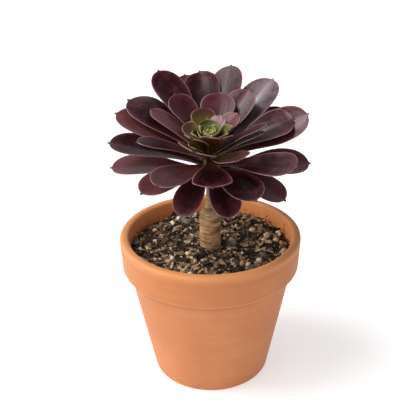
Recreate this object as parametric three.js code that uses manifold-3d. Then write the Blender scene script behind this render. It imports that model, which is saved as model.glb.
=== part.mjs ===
// A potted aeonium: one dark rosette on a bare stem, in potting mix, in a rolled-rim clay pot.
// Millimetres, +Z up. The origin is the centre of the pot's foot, on the surface it stands on.

import * as THREE from 'three';
import { mergeVertices } from 'three/addons/utils/BufferGeometryUtils.js';
import Module from 'manifold-3d';

const wasm = await Module();
wasm.setup();

// Driving dimensions.
const GAP = 0.35; // clearance kept between neighbouring solids
const POT_HEIGHT = 110;
const RIM_RADIUS = 65;
const COLLAR_HEIGHT = 24.5;
const BODY_TOP_RADIUS = 59.3;
const FOOT_RADIUS = 43.2;
const WALL = 5.6;
const POT_FLOOR = 7;
const DRAIN_RADIUS = 7.5;
const SOIL_HEIGHT = 97.6;
const TRUNK_RADIUS = 7.5;
const TRUNK_TOP = 123.5;
const TRUNK_FOOT = 84;
const NECK_RADIUS = 2.6;
const ROSETTE_HEIGHT = 158; // where the lowest leaves leave the stem
const ROSETTE_LEAN = 15; // degrees that the rosette nods towards -Y
const BRISTLE = 1.5; // the short point at a leaf's end
const ROUND = 48; // sides of the pot and of the mix in it

const DEGREE = Math.PI / 180;
const GOLDEN_ANGLE = 137.5;

// ---- small tools ----

function seeded(seed) {
  let state = seed;
  return (low = 0, high = 1) => {
    state = (state * 1664525 + 1013904223) % 4294967296;
    return low + (high - low) * (state / 4294967296);
  };
}

function smooth(value, low, high) {
  const t = Math.min(1, Math.max(0, (value - low) / (high - low)));
  return t * t * (3 - 2 * t);
}

// A value at x on a list of [x, value] stations.
function along(stations, x) {
  for (let i = 1; i < stations.length; i += 1) {
    const [x0, v0] = stations[i - 1];
    const [x1, v1] = stations[i];
    if (x <= x1) return v0 + ((v1 - v0) * Math.max(0, x - x0)) / (x1 - x0);
  }
  return stations[stations.length - 1][1];
}

// A closed skin over rings of equal length, shut at each end by a fan to that end's point.
function skin(rings, start, end) {
  const count = rings[0].length;
  const points = [start, ...rings.flat(), end];
  const last = points.length - 1;
  const faces = [];
  for (let k = 0; k < count; k += 1) {
    const next = (k + 1) % count;
    faces.push(0, 1 + next, 1 + k);
    for (let r = 0; r + 1 < rings.length; r += 1) {
      const a = 1 + r * count;
      const b = a + count;
      faces.push(a + k, a + next, b + next, a + k, b + next, b + k);
    }
    faces.push(last, last - count + k, last - count + next);
  }
  const geometry = new THREE.BufferGeometry();
  geometry.setAttribute('position', new THREE.Float32BufferAttribute(points.flat(), 3));
  geometry.setIndex(faces);
  return geometry;
}

function solid(geometry) {
  const bare = geometry.clone();
  bare.deleteAttribute('normal');
  bare.deleteAttribute('uv');
  const merged = mergeVertices(bare, 1e-4);
  const mesh = new wasm.Mesh({
    numProp: 3,
    vertProperties: new Float32Array(merged.attributes.position.array),
    triVerts: new Uint32Array(merged.index.array),
  });
  return new wasm.Manifold(mesh);
}

function asGeometry(body) {
  const mesh = body.getMesh();
  const geometry = new THREE.BufferGeometry();
  geometry.setAttribute('position', new THREE.Float32BufferAttribute(mesh.vertProperties, 3));
  geometry.setIndex([...mesh.triVerts]);
  geometry.computeVertexNormals();
  return geometry;
}

function largest(body) {
  return body.decompose().sort((a, b) => b.volume() - a.volume())[0];
}

const plant = new THREE.Group();

function addNode(name, body, colour, roughness) {
  const material = new THREE.MeshStandardMaterial({ color: colour, roughness, metalness: 0 });
  const mesh = new THREE.Mesh(asGeometry(body), material);
  mesh.name = name;
  plant.add(mesh);
}

// ---- pot: thrown clay with a deep collar, a rounded lip and a drain hole ----

function arc(centreR, centreZ, radius, from, to, steps) {
  const points = [];
  for (let i = 0; i <= steps; i += 1) {
    const angle = (from + ((to - from) * i) / steps) * DEGREE;
    points.push([centreR + radius * Math.cos(angle), centreZ + radius * Math.sin(angle)]);
  }
  return points;
}

const COLLAR_FOOT = POT_HEIGHT - COLLAR_HEIGHT;
const POT_INSIDE = [
  [POT_FLOOR, FOOT_RADIUS - WALL - 1.5],
  [POT_FLOOR + 2.5, FOOT_RADIUS - WALL + 0.8],
  [COLLAR_FOOT - 4, BODY_TOP_RADIUS - WALL - 0.8],
  [COLLAR_FOOT + 8, RIM_RADIUS - WALL - 2.4],
  [POT_HEIGHT - 4, RIM_RADIUS - WALL - 1],
];

function potProfile() {
  const foot = arc(FOOT_RADIUS - 2, 2, 2, -90, 0, 2);
  const collar = [
    [BODY_TOP_RADIUS, COLLAR_FOOT - 0.4],
    [BODY_TOP_RADIUS + 0.6, COLLAR_FOOT + 0.1],
    [RIM_RADIUS - 1.9, COLLAR_FOOT + 0.1],
    ...arc(RIM_RADIUS - 2.2, COLLAR_FOOT + 1.6, 1.3, -60, 0, 1),
  ];
  const lip = [
    ...arc(RIM_RADIUS - 2.6, POT_HEIGHT - 2.6, 2.6, 0, 90, 4),
    ...arc(RIM_RADIUS - WALL + 1.1, POT_HEIGHT - 1.8, 1.8, 90, 180, 3),
  ];
  const inside = POT_INSIDE.slice().reverse().map(([z, r]) => [r, z]);
  const hole = [
    [DRAIN_RADIUS + 1, POT_FLOOR],
    [DRAIN_RADIUS, POT_FLOOR - 1],
    [DRAIN_RADIUS, 0],
  ];
  return [...foot, ...collar, ...lip, ...inside, ...hole];
}

function lathe(profile) {
  const loop = [...profile, profile[0]].map(([r, z]) => new THREE.Vector2(r, z));
  return new THREE.LatheGeometry(loop, ROUND).rotateX(90 * DEGREE);
}

// ---- stem: a corky trunk with leaf scars, a thin neck, and the leaning crown in the rosette ----

const TRUNK_STATIONS = [
  [TRUNK_FOOT, TRUNK_RADIUS - 1.5],
  [TRUNK_FOOT + 6, TRUNK_RADIUS - 0.3],
  [SOIL_HEIGHT + 2, TRUNK_RADIUS + 0.1],
  [TRUNK_TOP - 8, TRUNK_RADIUS - 0.2],
  [TRUNK_TOP, TRUNK_RADIUS],
  [TRUNK_TOP + 2.2, TRUNK_RADIUS - 1.1],
  [TRUNK_TOP + 4.4, TRUNK_RADIUS - 2.8],
  [TRUNK_TOP + 6, NECK_RADIUS + 1],
  [TRUNK_TOP + 8, NECK_RADIUS + 0.1],
  [TRUNK_TOP + 18, NECK_RADIUS],
  [ROSETTE_HEIGHT - 8, NECK_RADIUS + 0.1],
];
const SCAR_SPACING = 3.1;
const SCAR_DEPTH = 0.4;

// Radius of the crown at a height above the rosette's lowest leaf.
const CROWN = [
  [-5, NECK_RADIUS + 0.3],
  [0, 3.4],
  [6, 4],
  [14, 4],
  [20, 3.4],
  [25, 2.6],
];
const CROWN_TOP = 25;

function toWorld([x, y, z]) {
  const lean = ROSETTE_LEAN * DEGREE;
  return [
    x,
    y * Math.cos(lean) - z * Math.sin(lean),
    ROSETTE_HEIGHT + y * Math.sin(lean) + z * Math.cos(lean),
  ];
}

function stemRings(extra, sides) {
  const rings = [];
  const ring = (radius, place) => {
    const points = [];
    for (let k = 0; k < sides; k += 1) {
      const angle = (k * 2 * Math.PI) / sides;
      points.push(place(radius * Math.cos(angle), radius * Math.sin(angle)));
    }
    rings.push(points);
  };
  const upright = (z, radius) => ring(radius + extra, (x, y) => [x, y, z]);
  upright(TRUNK_FOOT - extra, TRUNK_STATIONS[0][1]);
  upright(TRUNK_FOOT + 6, TRUNK_STATIONS[1][1]);
  for (let z = SOIL_HEIGHT - 2; z < TRUNK_TOP - 0.5; z += SCAR_SPACING) {
    upright(z, along(TRUNK_STATIONS, z));
    upright(z + SCAR_SPACING * 0.7, along(TRUNK_STATIONS, z) - SCAR_DEPTH);
  }
  for (const [z, radius] of TRUNK_STATIONS.slice(4)) upright(z, radius);
  for (const [h, radius] of CROWN) ring(radius + extra, (x, y) => toWorld([x, y, h]));
  return rings;
}

function stem(extra, sides) {
  const start = [0, 0, TRUNK_FOOT - extra];
  return skin(stemRings(extra, sides), start, toWorld([0, 0, CROWN_TOP + 1.2 + extra]));
}

// ---- roots: a stub under the trunk's foot, with tapered roots that spread and dive ----

const ROOT_COUNT = 6;
const ROOT_SIDES = 5;

// A tapered tube along a path; extra grows it on every side and past both ends.
function tube(path, radii, sides, extra) {
  const last = path.length - 1;
  const headingAt = (i) => {
    const before = new THREE.Vector3(...path[Math.max(0, i - 1)]);
    return new THREE.Vector3(...path[Math.min(last, i + 1)]).sub(before).normalize();
  };
  const past = (i, distance) => {
    return new THREE.Vector3(...path[i]).addScaledVector(headingAt(i), distance).toArray();
  };
  const rings = path.map((centre, i) => {
    const heading = headingAt(i);
    const flat = new THREE.Vector3(-heading.y, heading.x, 0);
    const side = (flat.lengthSq() > 1e-6 ? flat : new THREE.Vector3(1, 0, 0)).normalize();
    const over = new THREE.Vector3().crossVectors(heading, side);
    return Array.from({ length: sides }, (_, k) => {
      const angle = (k * 2 * Math.PI) / sides;
      const point = new THREE.Vector3(...centre);
      point.addScaledVector(side, (radii[i] + extra) * Math.cos(angle));
      point.addScaledVector(over, (radii[i] + extra) * Math.sin(angle));
      return point.toArray();
    });
  });
  return skin(rings, past(0, -extra), past(last, extra));
}

function roots(extra) {
  const top = TRUNK_FOOT - GAP;
  const stub = [[0, 0, top], [0, 0, top - 4], [0, 0, top - 12], [0, 0, top - 20]];
  let body = solid(tube(stub, [5.4, 5.6, 4.2, 1.8], 10, extra));
  const random = seeded(7);
  for (let i = 0; i < ROOT_COUNT; i += 1) {
    const heading = (i * GOLDEN_ANGLE + random(-12, 12)) * DEGREE;
    const reach = random(26, 34);
    const drop = random(26, 52);
    const path = [];
    const radii = [];
    for (let k = 0; k <= 4; k += 1) {
      const t = k / 4;
      const turn = heading + 0.35 * Math.sin(3 * t + i);
      const r = 1 + reach * t ** 0.85;
      path.push([r * Math.cos(turn), r * Math.sin(turn), top - 6 - drop * t ** 1.5]);
      radii.push(2 * (1 - t) + 0.5);
    }
    body = body.add(solid(tube(path, radii, ROOT_SIDES, extra)));
  }
  return body;
}

// ---- potting mix: fills the pot, with a lumpy top of bark chips and grit ----

const CHIPS = 16;
const GRITS = 14;

function reliefAt(x, y) {
  const coarse = 0.5 * Math.sin(x * 0.21 + 1.3) * Math.cos(y * 0.17 - 0.6);
  const fine = 0.35 * Math.sin(x * 0.83 + y * 0.61) + 0.3 * Math.cos(y * 1.13 - x * 0.47);
  const mound = 1.2 * (1 - smooth(Math.hypot(x, y), 8, 40));
  return SOIL_HEIGHT - 0.4 + coarse + fine + mound;
}

function soilBody() {
  const rings = [];
  const round = (radius, height) => {
    const points = [];
    for (let k = 0; k < ROUND; k += 1) {
      const angle = (k * 2 * Math.PI) / ROUND;
      const x = radius * Math.cos(angle);
      const y = radius * Math.sin(angle);
      points.push([x, y, height ?? reliefAt(x, y)]);
    }
    rings.push(points);
  };
  const floor = POT_FLOOR + GAP;
  for (const [z, radius] of POT_INSIDE.slice(0, 4)) {
    round(radius - GAP - 0.05, Math.max(floor, z));
  }
  for (const radius of [54, 44, 35, 26, 17, 9]) round(radius);
  return solid(skin(rings, [0, 0, floor], [0, 0, SOIL_HEIGHT + 1]));
}

// A pebble or chip: a lumpy icosahedron, squashed, turned and set half into the mix.
function lump(random, size, place) {
  const bare = new THREE.IcosahedronGeometry(1, 0);
  bare.deleteAttribute('uv');
  bare.deleteAttribute('normal');
  const shape = mergeVertices(bare);
  const points = shape.attributes.position;
  for (let i = 0; i < points.count; i += 1) {
    const swell = random(0.8, 1.15);
    points.setXYZ(i, points.getX(i) * swell, points.getY(i) * swell, points.getZ(i) * swell);
  }
  shape.scale(size[0], size[1], size[2]);
  shape.rotateY(random(-0.5, 0.5));
  shape.rotateZ(random(0, 6.28));
  return solid(shape.translate(place[0], place[1], place[2]));
}

function pottingMix() {
  let body = soilBody();
  const random = seeded(11);
  for (let i = 0; i < CHIPS + GRITS; i += 1) {
    const angle = i * GOLDEN_ANGLE * DEGREE + random(-0.2, 0.2);
    const radius = 12 + 38 * Math.sqrt((i + 0.5) / (CHIPS + GRITS)) + random(-1.5, 1.5);
    const x = radius * Math.cos(angle);
    const y = radius * Math.sin(angle);
    const chip = i % 2 === 0;
    const size = chip
      ? [random(2.6, 4.4), random(1.3, 2.2), random(0.7, 1.1)]
      : [random(1.2, 1.9), random(1, 1.6), random(0.9, 1.3)];
    body = body.add(lump(random, size, [x, y, reliefAt(x, y) + size[2] * 0.35]));
  }
  return largest(body.subtract(solid(stem(GAP, 16))).subtract(roots(GAP)));
}

// ---- leaves ----

// One row a leaf, oldest and lowest first, in the rosette's own leaning frame: compass angle from
// +X, reach of the tip from the axis, height of the tip, arch in degrees (up at the foot and down
// at the tip), width, roll (the anticlockwise edge raised), height of the foot on the crown, and
// how far out the blade is widest.
const LEAVES = [
  [0, 68, 4, 6, 27, 4, -2, 0.74],
  [180, 67, 2, 8, 23, 0, -2, 0.74],
  [-74.5, 48, -4, 30, 20.5, 0, -2, 0.74],
  [-112, 48, -4, 30, 19.5, 0, -1, 0.74],
  [72, 58, 6, 8, 24, 0, -1, 0.74],
  [112, 56, 5, 8, 24, 0, -1, 0.74],
  [-137, 59, 12, 12, 23, 0, 0, 0.74],
  [-38, 61, 3, 14, 22, 0, 0, 0.74],
  [139, 52, 5, 8, 22, 0, 1, 0.74],
  [44, 52, 5, 8, 22, 0, 1, 0.74],
  [90, 62, 16, 6, 24, 0, 2, 0.74],
  [-60, 57, 13, 12, 25, 0, 2, 0.74],
  [178, 67, 21, 8, 25, 0, 3, 0.74],
  [-125, 57, 23, 8, 24, 0, 4, 0.74],
  [34, 65, 24, 3, 24, 0, 3, 0.74],
  [105, 67, 36, 2, 24, 0, 3, 0.74],
  [164, 65, 34, 4, 26, 0, 7, 0.74],
  [-33, 64, 27, 2, 25, 6, 5, 0.82],
  [15, 69, 32, 2, 27, 20, 4, 0.74],
  [49, 69, 39, 3, 27, 0, 5, 0.74],
  [-88, 51, 25, 4, 25, 0, 9, 0.9],
  [138, 54, 30, 2, 18, 0, 6, 0.74],
  [76, 67, 43, 2, 25, -14, 6, 0.74],
  [151, 63, 36, 2, 27, 0, 7, 0.74],
  [96, 65, 38, 2, 26, 0, 9, 0.74],
  [122, 67, 44, 2, 24, 0, 8, 0.74],
  [-165, 48, 32, 4, 17, 10, 10, 0.76],
  [14, 58, 29, 4, 23, 4, 10, 0.82],
  [156, 43, 35, 2, 15, 16, 12, 0.74],
  [-5, 36, 32, 2, 15, -18, 11, 0.76],
  [-3, 38, 37.5, 2, 16, -18, 13, 0.76],
  [124, 42, 38, 2, 20, 0, 13, 0.74],
  [54, 47, 39, 2, 22, 0, 12, 0.74],
  [77, 37, 38, 2, 24, 0, 15, 0.74],
  [-62, 38, 32, 4, 24, 0, 11, 0.84],
  [-106, 36, 40, 2, 26, -12, 11, 0.84],
  [103, 24, 34, 4, 17, 0, 18, 0.74],
  [157, 19, 31, 2, 12, 0, 19, 0.76],
  [-123, 21, 38, 2, 17, 0, 15, 0.78],
  [-70, 21, 39, 0, 21, 0, 15, 0.8],
  [38, 24, 35, 2, 14, 0, 21, 0.74],
  [60, 16, 34, 2, 11, 0, 22, 0.74],
];

const FOOT_WIDTH = 5; // every blade is this wide where it leaves the stem
const SECTION_TOP = [-1, -0.55, 0, 0.55, 1];
const SECTION_UNDER = [0.55, 0, -0.55];
const STATIONS = [0, 0.18, 0.38, 0.56, 0.7, 0.82, 0.91, 0.97, 1];

// Half width of a blade: a narrow foot that clasps the stem, and swells late to a round end.
function halfWidth(row, s) {
  const [, , , , width, , , widest] = row;
  const a = Math.min(1, s / widest);
  const b = Math.max(0, (s - widest) / (1 - widest));
  const foot = Math.min(1, FOOT_WIDTH / width);
  const swell = foot + (1 - foot) * (a * a * (3 - 2 * a)) ** 1.3;
  return Math.max(0.7, (swell * Math.sqrt(Math.max(0, 1 - b ** 2.4)) * width) / 2);
}

function thicknessAt(s, v) {
  return (2.1 - 0.9 * s) * (1 - 0.75 * v * v);
}

// The frame of a blade at s, a share of its length: centre, and its way across and up.
function bladeFrame(row, s) {
  const [azimuth, reach, height, arch, , roll, foot] = row;
  const start = row[8] ?? along(CROWN, foot) + GAP;
  const chord = Math.atan2(height - foot, reach - start);
  const bow = (arch || 0.5) * DEGREE;
  const length = (Math.hypot(reach - start, height - foot) * bow) / Math.sin(bow);
  const first = chord + bow;
  const pitch = first - 2 * bow * s;
  const out = start + (length * (Math.sin(first) - Math.sin(pitch))) / (2 * bow);
  const up = foot + (length * (Math.cos(pitch) - Math.cos(first))) / (2 * bow);
  const heading = azimuth * DEGREE;
  const away = new THREE.Vector3(Math.cos(heading), Math.sin(heading), 0);
  const across = new THREE.Vector3(-Math.sin(heading), Math.cos(heading), 0);
  const over = away.clone().multiplyScalar(-Math.sin(pitch)).setZ(Math.cos(pitch));
  const forward = away.clone().multiplyScalar(Math.cos(pitch)).setZ(Math.sin(pitch));
  const centre = away.clone().multiplyScalar(out).setZ(up);
  across.applyAxisAngle(forward, roll * DEGREE * Math.min(1, 1.6 * s));
  over.applyAxisAngle(forward, roll * DEGREE * Math.min(1, 1.6 * s));
  return { centre, across, over, forward, pitch, length };
}

// A point of the blade's middle surface: a shallow channel, deeper at the foot.
function bladePoint(row, s, v, extra = 0) {
  const frame = bladeFrame(row, s);
  const half = halfWidth(row, s) + extra;
  const depth = (row[9] ?? 0.42) - 0.3 * s;
  const cup = half * depth * Math.abs(v) ** 1.6;
  const point = frame.centre.clone().addScaledVector(frame.across, half * v);
  return { point: point.addScaledVector(frame.over, cup), frame };
}

// The leaves lie on one another: this map holds how high the blades laid so far reach.
const MAP_HALF = 90;
const laid = new Float32Array(4 * MAP_HALF * MAP_HALF).fill(-1000);

function cell(point) {
  const i = Math.round(point.x + MAP_HALF);
  const j = Math.round(point.y + MAP_HALF);
  return j * 2 * MAP_HALF + i;
}

// How far each point of a blade is lifted to clear those under it, evened out over the blade.
function liftOf(row) {
  const columns = SECTION_TOP.length;
  const need = STATIONS.map(() => new Array(columns).fill(0));
  for (let i = 0; i <= 40; i += 1) {
    for (let j = 0; j <= 16; j += 1) {
      const s = i / 40;
      const { point, frame } = bladePoint(row, s, j / 8 - 1);
      const clear = (1.7 + GAP) / Math.max(0.45, Math.cos(frame.pitch));
      const short = (laid[cell(point)] + clear - point.z) * smooth(s, 0.15, 0.4);
      const a = STATIONS.findIndex((value) => value >= s - 1e-9);
      const c = Math.round((j / 16) * (columns - 1));
      for (const k of [a, Math.max(0, a - 1)]) need[k][c] = Math.max(need[k][c], short);
    }
  }
  let lift = need;
  for (let pass = 0; pass < 3; pass += 1) {
    lift = lift.map((line, i) => line.map((value, j) => {
      const near = [
        lift[Math.max(0, i - 1)][j],
        lift[Math.min(lift.length - 1, i + 1)][j],
        line[Math.max(0, j - 1)],
        line[Math.min(columns - 1, j + 1)],
      ];
      return Math.max(need[i][j], (2 * value + near[0] + near[1] + near[2] + near[3]) / 6);
    }));
  }
  return lift;
}

function liftAt(lift, s, v) {
  const a = Math.max(1, STATIONS.findIndex((value) => value >= s - 1e-9));
  const t = (s - STATIONS[a - 1]) / (STATIONS[a] - STATIONS[a - 1]);
  const line = SECTION_TOP.map((value, j) => [value, lift[a - 1][j] * (1 - t) + lift[a][j] * t]);
  return along(line, v);
}

function lay(row, lift) {
  for (let i = 0; i <= 90; i += 1) {
    for (let j = 0; j <= 40; j += 1) {
      const s = i / 90;
      const v = j / 20 - 1;
      const { point } = bladePoint(row, s, v);
      const at = cell(point);
      laid[at] = Math.max(laid[at], point.z + liftAt(lift, s, v));
    }
  }
}

// A blade's solid; extra grows it on every side, to cut its neighbours clear of it.
function blade(row, lift, extra = 0, stations = STATIONS) {
  const rings = stations.map((s, i) => {
    const shift = (v) => lift[i][SECTION_TOP.indexOf(v)];
    const side = (v, way) => {
      const { point, frame } = bladePoint(row, s, v, extra);
      const half = way * (thicknessAt(s, v) / 2 + extra);
      point.addScaledVector(frame.over, half);
      if (i === 0) point.addScaledVector(frame.forward, -extra);
      return toWorld([point.x, point.y, point.z + shift(v)]);
    };
    return [
      ...(extra > 0 ? [side(-1, -1), side(-1, 1)] : [side(-1, 0)]),
      ...SECTION_TOP.slice(1, 4).map((v) => side(v, 1)),
      ...(extra > 0 ? [side(1, 1), side(1, -1)] : [side(1, 0)]),
      ...SECTION_UNDER.map((v) => side(v, -1)),
    ].reverse();
  });
  const foot = bladePoint(row, 0, 0);
  foot.point.addScaledVector(foot.frame.forward, -extra);
  const tip = bladePoint(row, 1, 0);
  tip.point.addScaledVector(tip.frame.forward, BRISTLE + extra);
  const rise = lift[stations.length - 1][2];
  return skin(
    rings,
    toWorld([foot.point.x, foot.point.y, foot.point.z + lift[0][2]]),
    toWorld([tip.point.x, tip.point.y, tip.point.z + rise]),
  );
}

// ---- heart: the smallest leaves, still packed round the growing tip ----

const HEART_LEAVES = 11;
const HEART_STATIONS = [0, 0.4, 0.68, 0.86, 0.96, 1];
const HEART_FOOT = CROWN_TOP + 1.2 + GAP;
const HEART_CUP = 0.85; // these leaves are hollow, and close in on one another like a nest

// The same eight values as a row of LEAVES, then the foot's distance from the axis and the cup.
function heartRow(i) {
  const t = i / (HEART_LEAVES - 1);
  const azimuth = 100 + i * GOLDEN_ANGLE;
  const reach = 12.5 - 10 * t ** 0.8;
  const foot = HEART_FOOT - 7 + 8 * t;
  return [azimuth, reach, HEART_FOOT + 9 - 4 * t, -26, 14 - 8 * t, 0, foot, 0.7, 3.2 - 2.4 * t, HEART_CUP];
}

function heart() {
  const flat = HEART_STATIONS.map(() => SECTION_TOP.map(() => 0));
  const core = [[0, 2.4], [1.5, 2.8], [3.5, 2.2], [5, 1.2]];
  const rings = core.map(([up, radius]) => Array.from({ length: 10 }, (_, k) => {
    const angle = (k * 2 * Math.PI) / 10;
    return toWorld([radius * Math.cos(angle), radius * Math.sin(angle), HEART_FOOT + up]);
  }));
  let body = solid(skin(rings, toWorld([0, 0, HEART_FOOT]), toWorld([0, 0, HEART_FOOT + 5.6])));
  for (let i = 0; i < HEART_LEAVES; i += 1) {
    body = body.add(solid(blade(heartRow(i), flat, 0, HEART_STATIONS)));
  }
  return body;
}

// ---- assembly ----

const stemBody = solid(stem(0, 16));
const stemClearance = solid(stem(GAP, 16));

addNode('pot', solid(lathe(potProfile())), 0xc87a4c, 0.85);
addNode('potting_mix', pottingMix(), 0x3b2c22, 0.95);
addNode('roots', roots(0), 0x9a7b55, 0.9);
addNode('stem', stemBody, 0x9a7a52, 0.85);

let taken = stemClearance;
LEAVES.forEach((row, i) => {
  const lift = liftOf(row);
  lay(row, lift);
  const youth = i / (LEAVES.length - 1);
  const colour = new THREE.Color(0x33202a).lerp(new THREE.Color(0x6a4450), youth);
  const body = largest(solid(blade(row, lift)).subtract(taken));
  taken = taken.add(solid(blade(row, lift, GAP)));
  addNode(`leaf_${String(i + 1).padStart(2, '0')}`, body, colour, 0.45);
});

addNode('heart', largest(heart().subtract(taken)), 0x8c9a4e, 0.5);

export default plant;
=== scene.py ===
import math
import random

import bmesh
import bpy
import numpy as np
from mathutils import Matrix, Vector, noise


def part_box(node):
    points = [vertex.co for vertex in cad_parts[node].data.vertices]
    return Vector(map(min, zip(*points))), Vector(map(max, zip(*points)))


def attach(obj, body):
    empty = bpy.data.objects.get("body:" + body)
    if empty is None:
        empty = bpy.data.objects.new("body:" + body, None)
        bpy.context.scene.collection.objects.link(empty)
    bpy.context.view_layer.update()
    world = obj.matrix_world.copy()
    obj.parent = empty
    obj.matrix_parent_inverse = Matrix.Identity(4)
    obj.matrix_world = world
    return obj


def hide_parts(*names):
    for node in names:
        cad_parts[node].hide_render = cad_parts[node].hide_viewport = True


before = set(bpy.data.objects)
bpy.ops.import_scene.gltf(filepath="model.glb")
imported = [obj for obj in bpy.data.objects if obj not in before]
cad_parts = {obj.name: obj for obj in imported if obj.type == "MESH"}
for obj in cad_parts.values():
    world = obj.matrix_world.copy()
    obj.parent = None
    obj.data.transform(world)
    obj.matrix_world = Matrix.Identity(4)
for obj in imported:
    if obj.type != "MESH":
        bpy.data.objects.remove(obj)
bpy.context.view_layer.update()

# ---- camera ----
# It stands in front of the plant and looks down on it, at a point a little above the pot's rim.
# The lens is a short portrait one, and the camera is rolled by half a degree.
MM = 0.001
pot_low, pot_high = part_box("pot")
POT_HEIGHT = (pot_high.z - pot_low.z) / MM
POT_RADIUS = (pot_high.x - pot_low.x) / 2 / MM
VIEW_DISTANCE = 7.5 * POT_RADIUS
VIEW_HEIGHT = POT_HEIGHT + 16.6
VIEW_ELEVATION = math.radians(26.0)
VIEW_ROLL = math.radians(-0.584)
LENS = 58.96


def place_camera():
    forward = Vector((0, math.cos(VIEW_ELEVATION), -math.sin(VIEW_ELEVATION)))
    level_up = Vector((0, math.sin(VIEW_ELEVATION), math.cos(VIEW_ELEVATION)))
    right = Vector((math.cos(VIEW_ROLL), 0, 0)) + level_up * math.sin(VIEW_ROLL)
    up = right.cross(forward)
    place = Matrix((right, up, -forward)).transposed().to_4x4()
    place.translation = (Vector((0, 0, VIEW_HEIGHT)) - forward * VIEW_DISTANCE) * MM
    camera = bpy.data.objects.new("camera", bpy.data.cameras.new("camera"))
    camera.data.lens = LENS
    camera.data.sensor_width = 36
    camera.data.clip_start = 0.01
    camera.matrix_world = place
    bpy.context.collection.objects.link(camera)
    bpy.context.scene.camera = camera


place_camera()

# ---- pot ----
# Thrown terracotta, fired matt: a tapered body, a deep collar with a rounded lip, and a drain hole
# in a flat foot. Each corner of the section is rounded, then the section is spun round the axis.
COLLAR_HEIGHT = 24.5
COLLAR_FOOT = POT_HEIGHT - COLLAR_HEIGHT
BODY_TOP_RADIUS = 59.3
FOOT_RADIUS = 43.2
WALL = 5.6
POT_FLOOR = 7
DRAIN_RADIUS = 7.5
OUT_OF_ROUND = 0.25
POT_STEPS = 160
# Radius and height of each corner, and how far back from it the rounding starts.
POT_SECTION = [
    (DRAIN_RADIUS, 0, 0),
    (FOOT_RADIUS, 0, 1.8),
    (BODY_TOP_RADIUS, COLLAR_FOOT - 0.2, 0.5),
    (POT_RADIUS - 1.3, COLLAR_FOOT, 1.3),
    (POT_RADIUS, POT_HEIGHT, 2.7),
    (POT_RADIUS - WALL - 0.6, POT_HEIGHT, 2.2),
    (POT_RADIUS - WALL - 2.4, COLLAR_FOOT + 8, 4),
    (BODY_TOP_RADIUS - WALL - 0.8, COLLAR_FOOT - 4, 4),
    (FOOT_RADIUS - WALL, POT_FLOOR, 2.5),
    (DRAIN_RADIUS + 0.3, POT_FLOOR, 1),
]


def new_material(name):
    material = bpy.data.materials.new(name)
    material.use_nodes = True
    tree = material.node_tree
    return material, tree.nodes, tree.links, tree.nodes["Principled BSDF"]


def ramp(nodes, links, source, stops):
    node = nodes.new("ShaderNodeValToRGB")
    while len(node.color_ramp.elements) < len(stops):
        node.color_ramp.elements.new(0.5)
    for element, (place, colour) in zip(node.color_ramp.elements, stops):
        element.position = place
        element.color = (*colour, 1)
    links.new(source, node.inputs["Fac"])
    return node.outputs["Color"]


# A ramp in grey, from pairs of place and brightness.
def mask(nodes, links, source, stops):
    return ramp(nodes, links, source, [(place, (grey, grey, grey)) for place, grey in stops])


def mapped(nodes, links, scale):
    place = nodes.new("ShaderNodeTexCoord")
    mapping = nodes.new("ShaderNodeMapping")
    mapping.inputs["Scale"].default_value = scale
    links.new(place.outputs["Object"], mapping.inputs["Vector"])
    return mapping.outputs["Vector"]


def grain(nodes, links, vector, scale, detail=4.0, roughness=0.6):
    node = nodes.new("ShaderNodeTexNoise")
    node.inputs["Scale"].default_value = scale
    node.inputs["Detail"].default_value = detail
    node.inputs["Roughness"].default_value = roughness
    links.new(vector, node.inputs["Vector"])
    return node.outputs["Fac"]


def blend(nodes, links, amount, first, second, mode="MIX"):
    node = nodes.new("ShaderNodeMix")
    node.data_type = "RGBA"
    node.blend_type = mode
    for socket, value in ((node.inputs[0], amount), (node.inputs[6], first), (node.inputs[7], second)):
        if isinstance(value, bpy.types.NodeSocket):
            links.new(value, socket)
        else:
            socket.default_value = value if isinstance(value, (int, float)) else (*value, 1)
    return node.outputs[2]


def sums(nodes, links, operation, first, second=0.0):
    node = nodes.new("ShaderNodeMath")
    node.operation = operation
    for socket, value in zip(node.inputs, (first, second)):
        if isinstance(value, bpy.types.NodeSocket):
            links.new(value, socket)
        else:
            socket.default_value = value
    return node.outputs[0]


def bumps(nodes, links, surface, height, depth, strength=1.0):
    node = nodes.new("ShaderNodeBump")
    node.inputs["Strength"].default_value = strength
    node.inputs["Distance"].default_value = depth * MM
    links.new(height, node.inputs["Height"])
    links.new(node.outputs["Normal"], surface.inputs["Normal"])


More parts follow.
